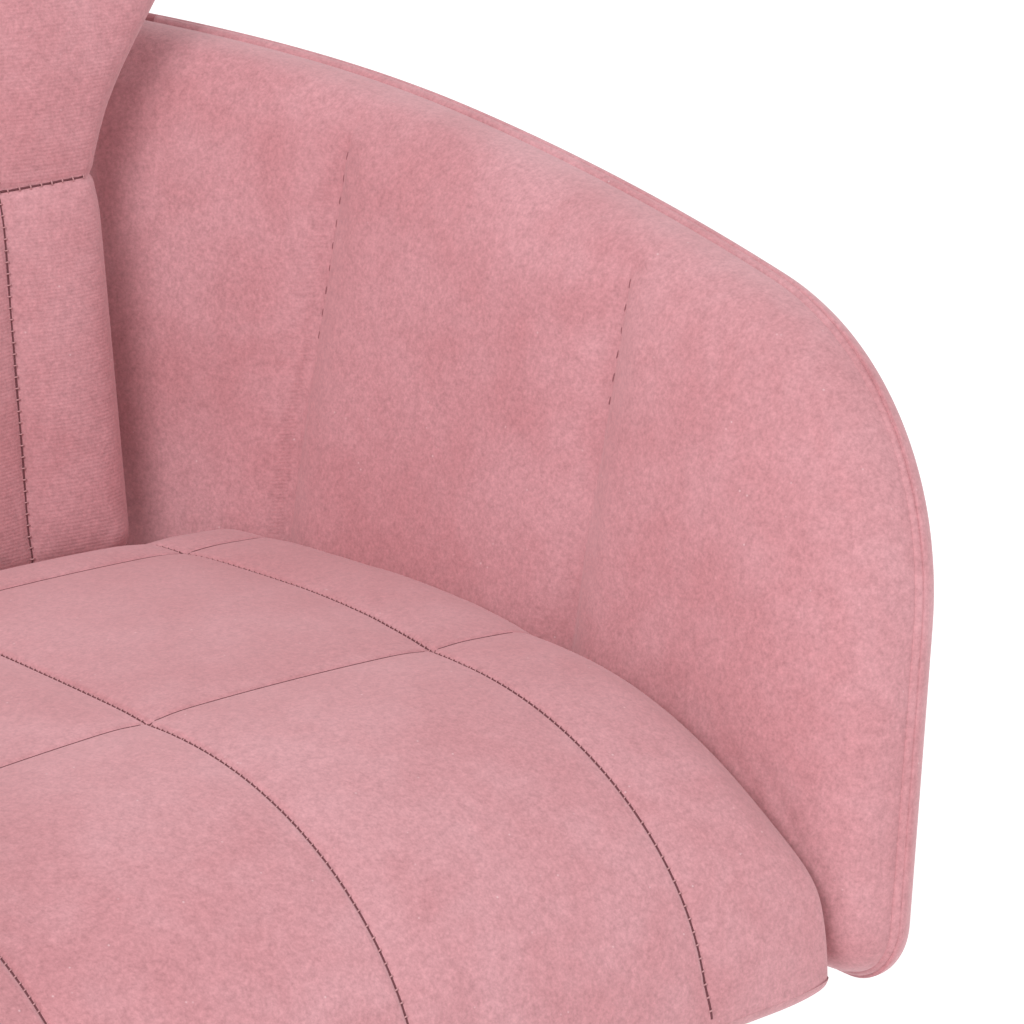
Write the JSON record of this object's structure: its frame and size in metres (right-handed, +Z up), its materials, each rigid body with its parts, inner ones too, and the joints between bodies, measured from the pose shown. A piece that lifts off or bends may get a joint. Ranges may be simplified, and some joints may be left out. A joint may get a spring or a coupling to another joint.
{
  "type": "styling chair",
  "caption": "Salon styling chair: velvet padded bucket seat with curved arms and a flared back on a hydraulic pump column, with a foot pedal, a round base and a T-bar footrest.",
  "frame": {"origin": "on the floor, on the pump column's axis, at the middle of the base's underside", "axes": "+Z up along the column, -Y towards the sitter's knees and the footrest, +X to the sitter's left"},
  "size_m": [0.7006, 0.8695, 0.9349],
  "materials": {
    "velvet": "matte",
    "chrome": "gloss",
    "machined_steel": "satin",
    "painted_steel": "satin",
    "cast_body": "matte",
    "ballast": "matte",
    "bronze": "satin",
    "rubber": "matte",
    "plastic": "matte",
    "plywood": "matte",
    "zinc_fastener": "satin"
  },
  "bodies": {
    "base": {"base_underlay": "rubber", "ballast_disc": "ballast", "base_cover": "chrome", "pump_casting": "cast_body", "pump_bolts": "zinc_fastener", "pump_cylinder": "machined_steel", "reservoir_tube": "painted_steel", "gland_nut": "machined_steel", "ram_seal": "rubber", "pump_shroud": "chrome", "pedal_pin": "machined_steel", "pin_clips": "zinc_fastener", "plunger_seal": "rubber", "plunger_spring": "zinc_fastener"},
    "pedal": {"pedal_lever": "chrome", "pedal_pad": "rubber"},
    "plunger": {"plunger": "machined_steel"},
    "ram": {"ram": "chrome", "ram_piston": "machined_steel", "ram_nut": "zinc_fastener", "thrust_washer": "bronze"},
    "seat": {"swivel_hub": "machined_steel", "hub_bush": "bronze", "column_shroud": "plastic", "seat_plate": "painted_steel", "seat_plate_bolts": "zinc_fastener", "t_nuts": "zinc_fastener", "seat_board": "plywood", "seat_cushion": "velvet", "left_arm_core": "plywood", "left_arm_inner_pad": "velvet", "left_arm_outer_pad": "velvet", "left_arm_piping": "velvet", "left_arm_bracket": "painted_steel", "left_arm_bolts": "zinc_fastener", "right_arm_core": "plywood", "right_arm_inner_pad": "velvet", "right_arm_outer_pad": "velvet", "right_arm_piping": "velvet", "right_arm_bracket": "painted_steel", "right_arm_bolts": "zinc_fastener", "back_board": "plywood", "back_cushion": "velvet", "back_rear_pad": "velvet", "back_piping": "velvet", "back_bars": "painted_steel", "back_bolts": "zinc_fastener", "footrest_stem": "chrome", "footrest_bar": "chrome", "footrest_tread": "rubber", "footrest_end_caps": "plastic", "footrest_bolts": "zinc_fastener"}
  },
  "joints": [
    {"name": "height_lift", "type": "slide", "parent": "base", "child": "ram", "axis": [0, 0, 1], "range_m": [0, 0.15]},
    {"name": "seat_swivel", "type": "hinge", "parent": "ram", "child": "seat", "pos_m": [0, 0, 0.305], "axis": [0, 0, 1], "continuous": true},
    {"name": "pedal_press", "type": "hinge", "parent": "base", "child": "pedal", "pos_m": [0, 0.056, 0.084], "axis": [-1, 0, 0], "range_deg": [0, 16], "stiffness_Nm_per_rad": 12, "springref_deg": -22.92},
    {"name": "plunger_stroke", "type": "slide", "parent": "base", "child": "plunger", "axis": [0, 0, -1], "range_m": [0, 0.009], "deforming": ["plunger_spring"]}
  ],
  "couplings": [
    {"joint": "plunger_stroke", "follows": "pedal_press", "m_per_rad": 0.0315}
  ]
}
